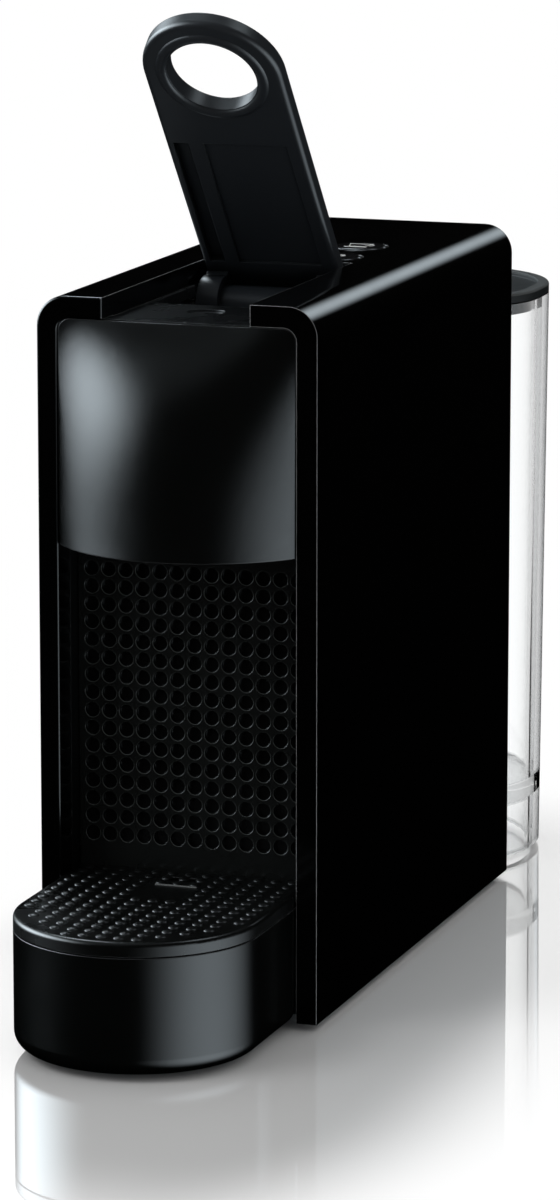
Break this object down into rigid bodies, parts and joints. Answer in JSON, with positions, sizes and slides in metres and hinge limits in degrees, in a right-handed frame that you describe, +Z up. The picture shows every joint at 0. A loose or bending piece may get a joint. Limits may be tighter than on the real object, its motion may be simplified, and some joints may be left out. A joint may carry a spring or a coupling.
{
  "type": "pod coffee machine",
  "caption": "Slim pod coffee machine with a ring lever on top, a dimpled cup bay over a drip tray, a clear water tank behind and its brew unit, pump and heater inside.",
  "frame": {"origin": "on the surface that the machine stands on, at the middle of its width and of its whole depth", "axes": "+X right seen from the front, the front faces -Y, +Z up; the lever is open at rest"},
  "size_m": [0.082, 0.33, 0.2812],
  "materials": {
    "gloss_black": "high gloss moulded black plastic",
    "satin_charcoal": "fine satin charcoal plastic",
    "lever_grey": "fine satin dark grey plastic",
    "deck_grey": "fine matte grey plastic",
    "matte_black": "fine matte black plastic",
    "clear": "clear polished plastic",
    "lid_grey": "satin dark grey plastic",
    "button_black": "gloss black plastic with a white cup mark",
    "black_rubber": "matte black rubber",
    "clear_hose": "milky silicone hose",
    "seal_red": "red silicone rubber",
    "steel": "bright turned steel",
    "pressed_steel": "zinc plated pressed steel",
    "brew_grey": "glass filled grey plastic",
    "white_plastic": "natural white plastic",
    "impeller_blue": "blue plastic",
    "cast_aluminium": "as cast aluminium",
    "copper": "drawn copper",
    "brass": "turned brass",
    "coil_black": "moulded coil in a steel frame",
    "board_green": "green laminated circuit board",
    "component_black": "moulded components"
  },
  "bodies": {
    "body": {"housing": "gloss_black", "front_panel": "satin_charcoal", "capsule_deck": "deck_grey", "bay_liner": "matte_black", "base_plate": "deck_grey", "rubber_feet": "black_rubber", "rear_cover": "matte_black", "cover_screws": "steel", "cord_gland": "black_rubber", "equipment_shelf": "matte_black", "rocker_pins": "steel", "brew_side_plates": "pressed_steel", "brew_front_plate": "brew_grey", "delivery_plate": "pressed_steel", "brew_rear_plate": "brew_grey", "guide_rods": "steel", "injection_barrel": "brew_grey", "stem_seal": "black_rubber", "coffee_spout": "matte_black", "tank_dock": "matte_black", "control_board": "board_green", "button_switches": "component_black", "board_components": "component_black", "thermoblock": "cast_aluminium", "thermoblock_spacers": "white_plastic", "thermostat": "cast_aluminium", "thermal_fuse": "component_black", "hot_pipe": "copper", "pump_core": "brass", "pump_coil": "coil_black", "pump_mounts": "black_rubber", "pump_bracket": "pressed_steel", "flowmeter_body": "white_plastic", "flowmeter_cap": "white_plastic", "inlet_tube": "clear_hose", "suction_tube": "clear_hose", "pressure_tube": "clear_hose"},
    "lever": {"lever": "lever_grey", "lever_shaft": "steel", "lever_cranks": "pressed_steel"},
    "rockers": {"toggle_rockers": "pressed_steel"},
    "cage": {"capsule_cage": "brew_grey", "piercing_blades": "steel", "injection_stem": "steel"},
    "tray": {"drip_tray": "satin_charcoal", "splash_wall": "matte_black", "capsule_container": "matte_black"},
    "cup_support": {"cup_support": "matte_black"},
    "tank": {"tank": "clear", "tank_valve": "white_plastic", "tank_seal": "seal_red"},
    "tank_lid": {"tank_lid": "lid_grey"},
    "valve_poppet": {"valve_poppet": "white_plastic"},
    "button_small_cup": {"button_small_cup": "button_black"},
    "button_large_cup": {"button_large_cup": "button_black"},
    "impeller": {"flowmeter_impeller": "impeller_blue"}
  },
  "joints": [
    {"name": "lever_hinge", "type": "hinge", "parent": "body", "child": "lever", "pos_m": [0, -0.0188, 0.192], "axis": [1, 0, 0], "range_deg": [0, 50]},
    {"name": "rocker_hinge", "type": "hinge", "parent": "body", "child": "rockers", "pos_m": [0, -0.0188, 0.172], "axis": [1, 0, 0], "range_deg": [-62, 0]},
    {"name": "cage_slide", "type": "slide", "parent": "body", "child": "cage", "axis": [0, -1, 0], "range_m": [0, 0.0308]},
    {"name": "tray_slide", "type": "slide", "parent": "body", "child": "tray", "axis": [0, -1, 0], "range_m": [0, 0.15]},
    {"name": "cup_support_lift", "type": "slide", "parent": "tray", "child": "cup_support", "axis": [0, 0, 1], "range_m": [0, 0.03]},
    {"name": "tank_lift", "type": "slide", "parent": "body", "child": "tank", "axis": [0, 0, 1], "range_m": [0, 0.06]},
    {"name": "lid_lift", "type": "slide", "parent": "tank", "child": "tank_lid", "axis": [0, 0, 1], "range_m": [0, 0.03]},
    {"name": "valve_lift", "type": "slide", "parent": "tank", "child": "valve_poppet", "axis": [0, 0, 1], "range_m": [0, 0.003], "stiffness_N_per_m": 60, "springref_m": -0.002},
    {"name": "small_cup_press", "type": "slide", "parent": "body", "child": "button_small_cup", "axis": [0, 0, -1], "range_m": [0, 0.0012], "stiffness_N_per_m": 300, "springref_m": -0.0015},
    {"name": "large_cup_press", "type": "slide", "parent": "body", "child": "button_large_cup", "axis": [0, 0, -1], "range_m": [0, 0.0012], "stiffness_N_per_m": 300, "springref_m": -0.0015},
    {"name": "impeller_spin", "type": "hinge", "parent": "body", "child": "impeller", "pos_m": [-0.026, 0.043, 0.013], "axis": [0, 0, 1], "continuous": true}
  ],
  "couplings": [
    {"joint": "rocker_hinge", "follows": "lever_hinge", "ratio": -1.2302},
    {"joint": "cage_slide", "follows": "lever_hinge", "m_per_rad": 0.035158}
  ]
}
